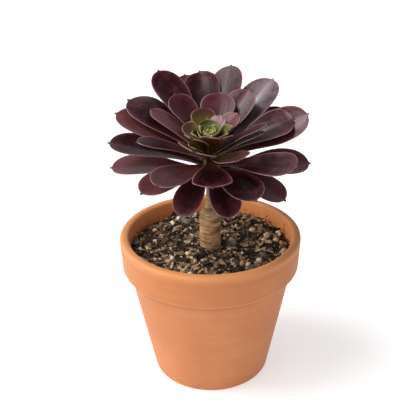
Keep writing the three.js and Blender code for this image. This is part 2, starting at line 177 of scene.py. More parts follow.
def terracotta():
    material, nodes, links, surface = new_material("terracotta")
    turned = grain(nodes, links, mapped(nodes, links, (3, 3, 240)), 1.0, 3.0)
    clouds = grain(nodes, links, mapped(nodes, links, (1, 1, 1)), 26.0, 5.0)
    grit = grain(nodes, links, mapped(nodes, links, (1, 1, 1)), 1100.0, 3.0)
    clay = ramp(nodes, links, clouds, [
        (0.3, (0.465, 0.158, 0.050)),
        (0.52, (0.505, 0.178, 0.057)),
        (0.72, (0.545, 0.206, 0.074)),
    ])
    lines = ramp(nodes, links, turned, [(0.35, (0.88, 0.86, 0.84)), (0.62, (1, 1, 1))])
    clay = blend(nodes, links, 0.45, clay, lines, "MULTIPLY")
    specks = ramp(nodes, links, grit, [(0.27, (0.5, 0.42, 0.36)), (0.35, (1, 1, 1))])
    clay = blend(nodes, links, 0.45, clay, specks, "MULTIPLY")
    parts = nodes.new("ShaderNodeSeparateXYZ")
    links.new(mapped(nodes, links, (1 / MM, 1 / MM, 1 / MM)), parts.inputs["Vector"])

    def share_above(start, span):
        return sums(nodes, links, "DIVIDE", sums(nodes, links, "SUBTRACT", parts.outputs["Z"], start), span)

    # Just under the collar's foot the clay is painted darker, as painted shade under the overhang.
    above_foot = share_above(COLLAR_FOOT - 10, 20)
    under = ramp(nodes, links, above_foot, [
        (0.15, (1, 1, 1)), (0.42, (0.78, 0.72, 0.68)), (0.5, (0.62, 0.55, 0.5)), (0.502, (1, 1, 1)),
    ])
    clay = blend(nodes, links, 1.0, clay, under, "MULTIPLY")
    # Along the collar's foot edge a pale band is painted as a highlight on its rounded corner.
    painted_edge_highlight = mask(nodes, links, above_foot, [(0.495, 0), (0.51, 1), (0.55, 1), (0.585, 0)])
    clay = blend(nodes, links, sums(nodes, links, "MULTIPLY", painted_edge_highlight, 0.16), clay, (0.86, 0.50, 0.29))
    # Inside the mouth the clay is painted brighter, as painted light standing in for light that reaches the
    # inner wall.
    from_axis = nodes.new("ShaderNodeVectorMath")
    from_axis.operation = "LENGTH"
    links.new(mapped(nodes, links, (0.01 / MM, 0.01 / MM, 0)), from_axis.inputs[0])
    painted_mouth_light = mask(nodes, links, from_axis.outputs["Value"], [(0.592, 1), (0.612, 0)])
    mouth = mask(nodes, links, share_above(COLLAR_FOOT, 10), [(0.2, 0), (0.4, 1)])
    painted_mouth_light = sums(nodes, links, "MULTIPLY", painted_mouth_light, mouth)
    clay = blend(nodes, links, painted_mouth_light, clay, (1.45, 1.42, 1.35), "MULTIPLY")
    # The top of the lip is painted paler, as painted light on the face that turns up to the lamps.
    painted_lip_light = mask(nodes, links, share_above(POT_HEIGHT - 6, 10), [(0.0, 0), (0.5, 1)])
    clay = blend(nodes, links, sums(nodes, links, "MULTIPLY", painted_lip_light, 0.6), clay, (0.74, 0.31, 0.11))
    links.new(clay, surface.inputs["Base Color"])
    surface.inputs["Roughness"].default_value = 0.62
    surface.inputs["Specular IOR Level"].default_value = 0.42
    ridges = sums(nodes, links, "MULTIPLY", turned, 0.35)
    relief = sums(nodes, links, "ADD", ridges, sums(nodes, links, "MULTIPLY", grit, 0.45))
    bumps(nodes, links, surface, relief, 0.2, 0.4)
    return material


def add_piece(name, bm, material, replaced=(), smooth=True):
    bmesh.ops.transform(bm, matrix=Matrix.Scale(MM, 4), verts=bm.verts)
    mesh = bpy.data.meshes.new(name)
    bm.to_mesh(mesh)
    bm.free()
    if smooth:
        mesh.shade_smooth()
    mesh.materials.append(material)
    piece = bpy.data.objects.new(name, mesh)
    bpy.context.collection.objects.link(piece)
    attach(piece, "root")
    if replaced:
        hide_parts(*replaced)
    return piece


def spin_round(bm, steps):
    bmesh.ops.spin(bm, geom=bm.verts[:] + bm.edges[:], cent=(0, 0, 0), axis=(0, 0, 1), dvec=(0, 0, 0),
                   angle=math.tau, steps=steps, use_merge=True)
    bmesh.ops.remove_doubles(bm, verts=bm.verts, dist=0.001)
    bmesh.ops.recalc_face_normals(bm, faces=bm.faces)


def spun(section, steps):
    bm = bmesh.new()
    corners = [bm.verts.new((radius, 0, height)) for radius, height, _ in section]
    for first, second in zip(corners, corners[1:] + corners[:1]):
        bm.edges.new((first, second))
    for corner, (_, _, rounding) in zip(corners, section):
        if rounding:
            bmesh.ops.bevel(bm, geom=[corner], offset=rounding, offset_type="OFFSET", affect="VERTICES",
                            segments=6, profile=0.5, material=-1, clamp_overlap=True)
    spin_round(bm, steps)
    return bm


def make_pot():
    bm = spun(POT_SECTION, POT_STEPS)
    for vert in bm.verts:
        wobble = noise.noise(vert.co * 0.03) * OUT_OF_ROUND * min(1, vert.co.z / 10)
        vert.co.x *= 1 + wobble / POT_RADIUS
        vert.co.y *= 1 + wobble / POT_RADIUS
    pot = add_piece("clay_pot", bm, terracotta(), ["pot"])
    worn_edge = pot.modifiers.new("edges", "BEVEL")
    worn_edge.limit_method = "ANGLE"
    worn_edge.angle_limit = math.radians(40)
    worn_edge.width = 0.25 * MM
    worn_edge.segments = 2


make_pot()

# ---- potting mix ----
# A gritty succulent mix that fills the pot to a finger's width under the rim: a dark bed of fines,
# with bark chips, grey-brown grit and cream perlite pressed into its top and a few crumbs on the wall.
SOIL_HEIGHT = 97.6
INNER_RADIUS = POT_RADIUS - WALL - 2.4
MIX_RADIUS = INNER_RADIUS - 0.5
STEM_CLEAR = 7.6
BED_STEP = 0.6
BED_STEPS_ROUND = 180
BATCH = 120


def relief_at(x, y):
    coarse = 0.5 * math.sin(x * 0.21 + 1.3) * math.cos(y * 0.17 - 0.6)
    rough = noise.noise(Vector((x, y, 3)) * 0.16) * 1.1 + noise.noise(Vector((x, y, 9)) * 0.45) * 0.7
    reach = min(1, max(0, (math.hypot(x, y) - 8) / 32))
    mound = 1.2 * (1 - reach * reach * (3 - 2 * reach))
    return SOIL_HEIGHT - 0.5 + coarse + rough + mound


def crumbly(name, stops, roughness, scale, depth):
    material, nodes, links, surface = new_material(name)
    tint = nodes.new("ShaderNodeAttribute")
    tint.attribute_name = "tint"
    patches = grain(nodes, links, mapped(nodes, links, (1, 1, 1)), scale, 4.0)
    spread = sums(nodes, links, "MULTIPLY", sums(nodes, links, "SUBTRACT", patches, 0.5), 0.5)
    colour = ramp(nodes, links, sums(nodes, links, "ADD", tint.outputs["Fac"], spread), stops)
    links.new(colour, surface.inputs["Base Color"])
    surface.inputs["Roughness"].default_value = roughness
    surface.inputs["Specular IOR Level"].default_value = 0.25
    bumps(nodes, links, surface, patches, depth)
    return material


def make_bed():
    bm = bmesh.new()
    floor = POT_FLOOR + 0.4
    section = [(0, floor), (FOOT_RADIUS - WALL - 1.9, floor), (INNER_RADIUS - 5, COLLAR_FOOT - 4)]
    section += [(MIX_RADIUS - BED_STEP * k, SOIL_HEIGHT - 0.5) for k in range(int(MIX_RADIUS / BED_STEP))]
    section.append((0, SOIL_HEIGHT))
    line = [bm.verts.new((radius, 0, height)) for radius, height in section]
    for first, second in zip(line, line[1:]):
        bm.edges.new((first, second))
    spin_round(bm, BED_STEPS_ROUND)
    for vert in bm.verts:
        if vert.co.z > SOIL_HEIGHT - 2:
            crumb = noise.noise(vert.co * 1.3) * 0.5
            vert.co.z = relief_at(vert.co.x, vert.co.y) + crumb
    tint = bm.verts.layers.float.new("tint")
    for vert in bm.verts:
        vert[tint] = 0.35
    dirt = crumbly("fine_mix", [
        (0.1, (0.018, 0.012, 0.008)), (0.45, (0.060, 0.039, 0.025)), (0.8, (0.20, 0.128, 0.078)),
    ], 0.95, 700.0, 0.9)
    add_piece("mix_bed", bm, dirt, ["potting_mix"])
    return dirt


def scatter(name, count, sizes, material, level, seed, place, lumpiness, curl=0.0):
    draw = random.Random(seed)
    whole = bmesh.new()
    whole.verts.layers.float.new("tint")
    for start in range(0, count, BATCH):
        bm = bmesh.new()
        tint = bm.verts.layers.float.new("tint")
        for _ in range(min(BATCH, count - start)):
            length, width, height = (draw.uniform(*size) / 2 for size in sizes)
            spot, tilt = place(draw, height)
            turn = Matrix.Rotation(draw.uniform(0, math.tau), 4, "Z")
            for axis in "YX":
                turn = turn @ Matrix.Rotation(draw.uniform(-tilt, tilt), 4, axis)
            pose = Matrix.Translation(spot) @ turn @ Matrix.Diagonal((length, width, height, 1))
            made = bmesh.ops.create_icosphere(bm, subdivisions=level, radius=1)["verts"]
            shift = Vector((draw.uniform(-50, 50), draw.uniform(-50, 50), 0))
            shade_of = draw.random()
            bend = draw.uniform(-curl, curl)
            for vert in made:
                vert.co *= 1 + lumpiness * 2 * noise.noise(vert.co * 1.7 + shift)
                vert.co += Vector((0, bend, bend * 0.5)) * vert.co.x ** 2
                vert[tint] = shade_of
            bmesh.ops.transform(bm, matrix=pose, verts=made)
        mesh = bpy.data.meshes.new("batch")
        bm.to_mesh(mesh)
        bm.free()
        whole.from_mesh(mesh)
        bpy.data.meshes.remove(mesh)
    return add_piece(name, whole, material, smooth=level > 1)


def on_bed(sink, tilt):
    def place(draw, height):
        radius = math.sqrt(draw.uniform((STEM_CLEAR + 1) ** 2, (MIX_RADIUS - 1.2) ** 2))
        angle = draw.uniform(0, math.tau)
        x, y = radius * math.cos(angle), radius * math.sin(angle)
        return Vector((x, y, relief_at(x, y) + height * (1 - 2 * sink))), tilt
    return place


def on_wall(draw, _height):
    angle = draw.choice((0.9, 1.1, 0.4, 2.6, 2.9, 5.2, 5.9)) + draw.gauss(0, 0.35)
    rise = min(9.0, abs(draw.gauss(0, 2.6)))
    radius = INNER_RADIUS - 0.1 + 1.5 * rise / 15
    return Vector((radius * math.cos(angle), radius * math.sin(angle), SOIL_HEIGHT + rise)), 1.5


def make_mix():
    dirt = make_bed()
    bark = crumbly("bark_chips", [
        (0.0, (0.010, 0.006, 0.004)), (0.4, (0.040, 0.024, 0.014)), (0.58, (0.135, 0.082, 0.046)),
        (0.82, (0.33, 0.21, 0.115)), (1.0, (0.66, 0.47, 0.27)),
    ], 0.8, 420.0, 0.5)
    grit = crumbly("grit", [
        (0.0, (0.06, 0.041, 0.028)), (0.4, (0.12, 0.078, 0.048)),
        (0.7, (0.26, 0.17, 0.105)), (1.0, (0.50, 0.36, 0.23)),
    ], 0.85, 600.0, 0.3)
    perlite = crumbly("perlite", [
        (0.0, (0.50, 0.28, 0.10)), (0.3, (0.64, 0.44, 0.26)),
        (0.65, (0.80, 0.63, 0.43)), (1.0, (0.90, 0.80, 0.63)),
    ], 0.75, 900.0, 0.35)
    stone = crumbly("stone_chips", [
        (0.0, (0.055, 0.048, 0.042)), (0.5, (0.125, 0.108, 0.09)), (1.0, (0.23, 0.195, 0.155)),
    ], 0.75, 500.0, 0.25)
    # Name, how many, the ranges of their three sizes, material, fineness, seed, share sunk in, tilt,
    # lumpiness and curl.
    loose = [
        ("bark", 430, [(4.2, 10.5), (2.4, 5.8), (1.1, 2.6)], bark, 1, 1, 0.22, 0.75, 0.35, 0.0),
        ("bark_flakes", 850, [(2.0, 5.2), (1.1, 2.8), (0.6, 1.5)], bark, 1, 2, 0.25, 1.0, 0.35, 0.0),
        ("bark_splinters", 46, [(9, 15), (1.8, 3.0), (1.0, 1.8)], bark, 2, 10, 0.1, 0.25, 0.25, 1.6),
        ("stones", 26, [(4.5, 9), (3.8, 7), (1.4, 2.6)], stone, 2, 8, 0.1, 0.45, 0.3, 0.0),
        ("grit_grains", 420, [(1.4, 3.2), (1.2, 2.6), (0.9, 2.0)], grit, 1, 3, 0.25, 1.2, 0.3, 0.0),
        ("perlite_lumps", 30, [(3.4, 5.4), (3.0, 4.8), (2.8, 4.0)], perlite, 2, 9, 0.15, 1.2, 0.3, 0.0),
        ("perlite_grains", 150, [(1.5, 3.2), (1.3, 2.8), (1.1, 2.4)], perlite, 2, 4, 0.2, 1.2, 0.3, 0.0),
        ("perlite_dust", 260, [(0.7, 1.5), (0.7, 1.3), (0.5, 1.1)], perlite, 1, 5, 0.1, 1.2, 0.3, 0.0),
        ("fines", 3400, [(0.7, 1.7), (0.5, 1.2), (0.4, 0.9)], dirt, 1, 6, 0.2, 1.2, 0.3, 0.0),
    ]
    for name, count, sizes, material, level, seed, sunk, tilt, lumpiness, curl in loose:
        scatter(name, count, sizes, material, level, seed, on_bed(sunk, tilt), lumpiness, curl)
    scatter("wall_crumbs", 240, [(0.5, 1.4), (0.4, 1.0), (0.4, 0.9)], bark, 1, 7, on_wall, 0.3)


make_mix()

# ---- roots ----
# The root ball is hidden in the mix. The CAD solid's shape is right, so it only gets root bark.


def make_roots():
    material, nodes, links, surface = new_material("root_bark")
    strands = grain(nodes, links, mapped(nodes, links, (1, 1, 0.4)), 300.0, 5.0)
    colour = ramp(nodes, links, strands, [(0.3, (0.22, 0.13, 0.07)), (0.7, (0.5, 0.36, 0.22))])
    links.new(colour, surface.inputs["Base Color"])
    surface.inputs["Roughness"].default_value = 0.9
    bumps(nodes, links, surface, strands, 0.4)
    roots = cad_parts["roots"]
    roots.data.materials.clear()
    roots.data.materials.append(material)


make_roots()

# ---- stem ----
# A corky trunk with the worn rings of old leaf scars, a stepped dome where it was once cut back,
# and the thin green-brown neck that grew on from it and leans into the rosette.
TRUNK_RADIUS = 7.5
TRUNK_TOP = 123.5
TRUNK_FOOT = 84
NECK_RADIUS = 2.6
ROSETTE_HEIGHT = 158
NECK_TOP = ROSETTE_HEIGHT - 8
ROSETTE_LEAN = math.radians(15)
CROWN = [(-5, NECK_RADIUS + 0.3), (0, 3.4), (6, 4), (14, 4), (20, 3.4), (25, 2.6)]
TRUNK = [
    (TRUNK_FOOT, TRUNK_RADIUS - 1.5),
    (TRUNK_FOOT + 6, TRUNK_RADIUS - 0.3),
    (SOIL_HEIGHT + 2, TRUNK_RADIUS + 0.1),
    (TRUNK_TOP - 8, TRUNK_RADIUS - 0.2),
    (TRUNK_TOP - 1, TRUNK_RADIUS),
    (TRUNK_TOP + 2, TRUNK_RADIUS - 0.9),
    (TRUNK_TOP + 4, TRUNK_RADIUS - 2.4),
    (TRUNK_TOP + 6, NECK_RADIUS + 1),
    (TRUNK_TOP + 8, NECK_RADIUS + 0.1),
    (TRUNK_TOP + 18, NECK_RADIUS),
    (NECK_TOP, NECK_RADIUS + 0.1),
]


def along(stations, x):
    return float(np.interp(x, [s[0] for s in stations], [s[1] for s in stations]))


def to_world(point):
    x, y, z = point
    cosine, sine = math.cos(ROSETTE_LEAN), math.sin(ROSETTE_LEAN)
    return Vector((x, y * cosine - z * sine, ROSETTE_HEIGHT + y * sine + z * cosine))


def bark_skin():
    material, nodes, links, surface = new_material("stem_bark")
    rings = grain(nodes, links, mapped(nodes, links, (55, 55, 650)), 1.0, 5.0, 0.7)
    patches = grain(nodes, links, mapped(nodes, links, (1, 1, 1.6)), 150.0, 4.0)
    cracks = grain(nodes, links, mapped(nodes, links, (100, 100, 1100)), 1.0, 3.0, 0.6)
    weathering = sums(nodes, links, "MULTIPLY", sums(nodes, links, "ADD", rings, patches), 0.5)
    colour = ramp(nodes, links, weathering, [
        (0.35, (0.12, 0.05, 0.02)), (0.45, (0.31, 0.16, 0.072)),
        (0.54, (0.52, 0.315, 0.165)), (0.66, (0.72, 0.49, 0.295)),
    ])
    dark = ramp(nodes, links, cracks, [(0.33, (0.22, 0.14, 0.09)), (0.42, (1, 1, 1))])
    colour = blend(nodes, links, 0.85, colour, dark, "MULTIPLY")
    green = nodes.new("ShaderNodeAttribute")
    green.attribute_name = "green"
    young = ramp(nodes, links, rings, [
        (0.38, (0.10, 0.062, 0.022)), (0.5, (0.24, 0.18, 0.075)), (0.62, (0.42, 0.33, 0.17)),
    ])
    new_bark = blend(nodes, links, patches, young, (0.20, 0.16, 0.06))
    colour = blend(nodes, links, green.outputs["Fac"], colour, new_bark)
    crown = mask(nodes, links, green.outputs["Fac"], [(0.8, 0), (1.0, 1)])
    colour = blend(nodes, links, crown, colour, (0.07, 0.062, 0.016))
    links.new(colour, surface.inputs["Base Color"])
    surface.inputs["Roughness"].default_value = 0.78
    surface.inputs["Specular IOR Level"].default_value = 0.3
    relief = sums(nodes, links, "ADD", rings, sums(nodes, links, "MULTIPLY", cracks, 0.6))
    bumps(nodes, links, surface, relief, 0.7, 0.8)
    return material


# One more ring on the edges of the last; place puts each of its points, given the point's angle.
def grow_ring(bm, edges, turn, place):
    made = bmesh.ops.extrude_edge_only(bm, edges=edges)["geom"]
    ring = {item for item in made if isinstance(item, bmesh.types.BMVert)}
    for vert in ring:
        place(vert, vert[turn])
    return [item for item in made if isinstance(item, bmesh.types.BMEdge) and ring.issuperset(item.verts)]


def make_stem():
    sides = 48
    rise = 0.4
    crown_start = -4
    bm = bmesh.new()
    green = bm.verts.layers.float.new("green")
    turn = bm.verts.layers.float.new("turn")

    def trunk_point(vert, angle, height):
        worn = max(0, min(1, (TRUNK_TOP + 8 - height) / 4))
        dome = max(0, 1 - abs(height - TRUNK_TOP - 3) / 4)
        around = Vector((math.cos(angle), math.sin(angle), 0))
        scar = 0.34 * noise.noise(around * 2 + Vector((0, 0, height * 0.9)))
        scar += 0.22 * noise.noise(around * 2 + Vector((0, 0, height * 2.6)))
        swell = 0.5 * noise.noise(around * 0.8 + Vector((0, 0, height * 0.05)))
        step = 0.3 * math.sin(height * 2.4 + 0.8 * math.sin(angle * 2)) * dome
        radius = along(TRUNK, height) + (scar + swell) * worn + step + 0.12 * scar
        vert.co = around * radius + Vector((0, 0, height))
        vert[green] = max(0, min(1, (height - TRUNK_TOP + 3) / 10)) * 0.75

    ring = bmesh.ops.create_circle(bm, cap_ends=True, segments=sides, radius=1)["verts"]
    for vert in ring:
        vert[turn] = math.atan2(vert.co.y, vert.co.x)
        trunk_point(vert, vert[turn], TRUNK_FOOT)
    edges = bm.edges[:]
    height = TRUNK_FOOT
    while height < NECK_TOP:
        height += rise
        edges = grow_ring(bm, edges, turn, lambda vert, angle: trunk_point(vert, angle, height))

    def crown_point(vert, angle, height):
        radius = along(CROWN, height)
        vert.co = to_world((radius * math.cos(angle), radius * math.sin(angle), height))
        vert[green] = 0.9

    height = crown_start
    while height < CROWN[-1][0]:
        height += 2 * rise
        edges = grow_ring(bm, edges, turn, lambda vert, angle: crown_point(vert, angle, height))
    bmesh.ops.contextual_create(bm, geom=edges)
    bmesh.ops.recalc_face_normals(bm, faces=bm.faces)
    add_piece("bare_stem", bm, bark_skin(), ["stem"])


make_stem()

# ---- leaves ----
# Thick spoon-shaped leaves in a spiral on the stem's crown, the oldest and darkest lowest. Each is a
# shallow channel with a rounded end, a fine pale margin and a short dark point, and rests on those below.
# One row a leaf: compass angle, reach and height of the tip, arch, width, roll, height of the foot
# on the crown, and how far out the blade is widest. Lengths are in millimetres, angles in degrees.
LEAVES = [
    (0, 68, 4, 6, 27, 4, -2, 0.74),
    (180, 67, 2, 8, 23, 0, -2, 0.74),
    (-74.5, 48, -4, 30, 20.5, 0, -2, 0.74),
    (-112, 48, -4, 30, 19.5, 0, -1, 0.74),
    (72, 58, 6, 8, 24, 0, -1, 0.74),
    (112, 56, 5, 8, 24, 0, -1, 0.74),
    (-137, 59, 12, 12, 23, 0, 0, 0.74),
    (-38, 61, 3, 14, 22, 0, 0, 0.74),
    (139, 52, 5, 8, 22, 0, 1, 0.74),
    (44, 52, 5, 8, 22, 0, 1, 0.74),
    (90, 62, 16, 6, 24, 0, 2, 0.74),
    (-60, 57, 13, 12, 25, 0, 2, 0.74),
    (178, 67, 21, 8, 25, 0, 3, 0.74),
    (-125, 57, 23, 8, 24, 0, 4, 0.74),
    (34, 65, 24, 3, 24, 0, 3, 0.74),
    (105, 67, 36, 2, 24, 0, 3, 0.74),
    (164, 65, 34, 4, 26, 0, 7, 0.74),
    (-33, 64, 27, 2, 25, 6, 5, 0.82),
    (15, 69, 32, 2, 27, 20, 4, 0.74),
    (49, 69, 39, 3, 27, 0, 5, 0.74),
    (-88, 51, 25, 4, 25, 0, 9, 0.9),
    (138, 54, 30, 2, 18, 0, 6, 0.74),
    (76, 67, 43, 2, 25, -14, 6, 0.74),
    (151, 63, 36, 2, 27, 0, 7, 0.74),
    (96, 65, 38, 2, 26, 0, 9, 0.74),
    (122, 67, 44, 2, 24, 0, 8, 0.74),
    (-165, 48, 32, 4, 17, 10, 10, 0.76),
    (14, 58, 29, 4, 23, 4, 10, 0.82),
    (156, 43, 35, 2, 15, 16, 12, 0.74),
    (-5, 36, 32, 2, 15, -18, 11, 0.76),
    (-3, 38, 37.5, 2, 16, -18, 13, 0.76),
    (124, 42, 38, 2, 20, 0, 13, 0.74),
    (54, 47, 39, 2, 22, 0, 12, 0.74),
    (77, 37, 38, 2, 24, 0, 15, 0.74),
    (-62, 38, 32, 4, 24, 0, 11, 0.84),
    (-106, 36, 40, 2, 26, -12, 11, 0.84),
    (103, 24, 34, 4, 17, 0, 18, 0.74),
    (157, 19, 31, 2, 12, 0, 19, 0.76),
    (-123, 21, 38, 2, 17, 0, 15, 0.78),
    (-70, 21, 39, 0, 21, 0, 15, 0.8),
    (38, 24, 35, 2, 14, 0, 21, 0.74),
    (60, 16, 34, 2, 11, 0, 22, 0.74),
]
TOP_LINES = [-1, -0.55, 0, 0.55, 1]
STATIONS = [0, 0.18, 0.38, 0.56, 0.7, 0.82, 0.91, 0.97, 1]
FOOT_WIDTH = 5
FOOT_SUNK = 0.8
HOLLOW = 0.42
GAP = 0.35
RESTING = 1.7 + GAP
POINT_LENGTH = 1.5
SHELL = 0.01
LEAF_LAYERS = ("age", "margin", "length", "under", "red", "green", "shine")
# By the number of the leaf: how red it flushes, how far its green foot reaches, and how much it shines.
RED_LEAVES = {
    1: 0.4, 2: 0.9, 4: 0.15, 7: 0.7, 8: 0.6, 14: 0.35, 16: 1.0, 17: 1.0, 19: 0.3, 22: 0.9,
    29: 0.7, 41: 0.5, 42: 1.0,
}
GREEN_LEAVES = {
    27: 0.12, 29: 0.14, 32: 0.1, 33: 0.08, 34: 0.08, 35: 0.18, 37: 0.2, 38: 0.12, 39: 0.22,
    40: 0.15, 41: -0.25, 42: -0.35,
}
SHINE = {
    12: 0.8, 19: 1.6, 20: 2.4, 23: 0.55, 25: 0.35, 26: 0.45, 32: 0.4, 33: 0.8, 34: 0.4,
    37: 0.25, 38: 0.5, 39: 0.4, 41: 0.5,
}
# The leaves lie on one another: this map holds how high the blades laid so far reach.
MAP_HALF = 90
laid = np.full((2 * MAP_HALF, 2 * MAP_HALF), -1000.0)


def smooth(value, low, high):
    t = min(1, max(0, (value - low) / (high - low)))
    return t * t * (3 - 2 * t)


# Half width: a narrow foot that clasps the stem, and swells late to a round end.
def half_width(row, s):
    width, widest = row[4], row[7]
    a = min(1, s / widest)
    b = max(0, (s - widest) / (1 - widest))
    foot = min(1, FOOT_WIDTH / width)
    swell = foot + (1 - foot) * (a * a * (3 - 2 * a)) ** 1.3
    return max(0.7, swell * math.sqrt(max(0, 1 - b ** 2.4)) * width / 2)


# Here and below, s runs from the foot to the tip, 0 to 1, and v from edge to edge, -1 to 1.
def thickness_at(s, v):
    return (2.1 - 0.9 * s) * (1 - 0.75 * v * v)


def blade_frame(row, s):
    azimuth, reach, height, arch, _, roll, foot = row[:7]
    start = row[8] if len(row) > 8 else along(CROWN, foot) - FOOT_SUNK
    chord = math.atan2(height - foot, reach - start)
    bow = math.radians(arch or 0.5)
    length = math.hypot(reach - start, height - foot) * bow / math.sin(bow)
    first = chord + bow
    pitch = first - 2 * bow * s
    out = start + length * (math.sin(first) - math.sin(pitch)) / (2 * bow)
    up = foot + length * (math.cos(pitch) - math.cos(first)) / (2 * bow)
    heading = math.radians(azimuth)
    away = Vector((math.cos(heading), math.sin(heading), 0))
    forward = away * math.cos(pitch) + Vector((0, 0, math.sin(pitch)))
    twist = Matrix.Rotation(math.radians(roll) * min(1, 1.6 * s), 3, forward)
    across = twist @ Vector((-math.sin(heading), math.cos(heading), 0))
    over = twist @ (away * -math.sin(pitch) + Vector((0, 0, math.cos(pitch))))
    return away * out + Vector((0, 0, up)), across, over, forward, pitch


def blade_point(row, s, v):
    centre, across, over, forward, pitch = blade_frame(row, s)
    half = half_width(row, s)
    depth = (row[9] if len(row) > 9 else HOLLOW) - 0.3 * s
    cup = half * depth * abs(v) ** 1.6
    return centre + across * half * v + over * cup, over, forward, pitch, half


def cell(point):
    return math.floor(point.y + MAP_HALF + 0.5), math.floor(point.x + MAP_HALF + 0.5)


# How far each part of a blade is lifted to clear those under it, evened out over the blade.
def lift_of(row):
    need = np.zeros((len(STATIONS), len(TOP_LINES)))
    for i in range(41):
        for j in range(17):
            s = i / 40
            point, _, _, pitch, _ = blade_point(row, s, j / 8 - 1)
            clear = RESTING / max(0.45, math.cos(pitch))
            short = (laid[cell(point)] + clear - point.z) * smooth(s, 0.15, 0.4)
            a = next(k for k, value in enumerate(STATIONS) if value >= s - 1e-9)
            c = math.floor(j / 16 * (len(TOP_LINES) - 1) + 0.5)
            for k in (a, max(0, a - 1)):
                need[k, c] = max(need[k, c], short)
    lift = need
    for _ in range(3):
        near = np.pad(lift, 1, mode="edge")
        even = (2 * lift + near[:-2, 1:-1] + near[2:, 1:-1] + near[1:-1, :-2] + near[1:-1, 2:]) / 6
        lift = np.maximum(need, even)
    return lift


def lift_at(lift, s, v):
    lines = [np.interp(s, STATIONS, lift[:, k]) for k in range(len(TOP_LINES))]
    return float(np.interp(v, TOP_LINES, lines))


# The same lift with the corners between the stations rounded off.
def soft_lift_at(lift, s, v):
    total = 0.0
    for ds, dv, weight in ((0, 0, 4), (-0.06, 0, 2), (0.06, 0, 2), (0, -0.2, 2), (0, 0.2, 2),
                           (-0.06, -0.2, 1), (-0.06, 0.2, 1), (0.06, -0.2, 1), (0.06, 0.2, 1)):
        total += weight * lift_at(lift, min(1, max(0, s + ds)), min(1, max(-1, v + dv)))
    return total / 16


def lay(row, lift):
    for i in range(91):
        for j in range(41):
            s, v = i / 90, j / 20 - 1
            point = blade_point(row, s, v)[0]
            at = cell(point)
            laid[at] = max(laid[at], point.z + lift_at(lift, s, v))


def layer(nodes, name):
    node = nodes.new("ShaderNodeAttribute")
    node.attribute_name = name
    return node.outputs["Fac"]


# The streak pattern runs along each blade, on the blade's own map.
def streaked(nodes, links, scale, detail):
    uv = nodes.new("ShaderNodeUVMap")
    uv.uv_map = "blade"
    stretch = nodes.new("ShaderNodeMapping")
    stretch.inputs["Scale"].default_value = scale
    links.new(uv.outputs["UV"], stretch.inputs["Vector"])
    return grain(nodes, links, stretch.outputs["Vector"], 1.0, detail)


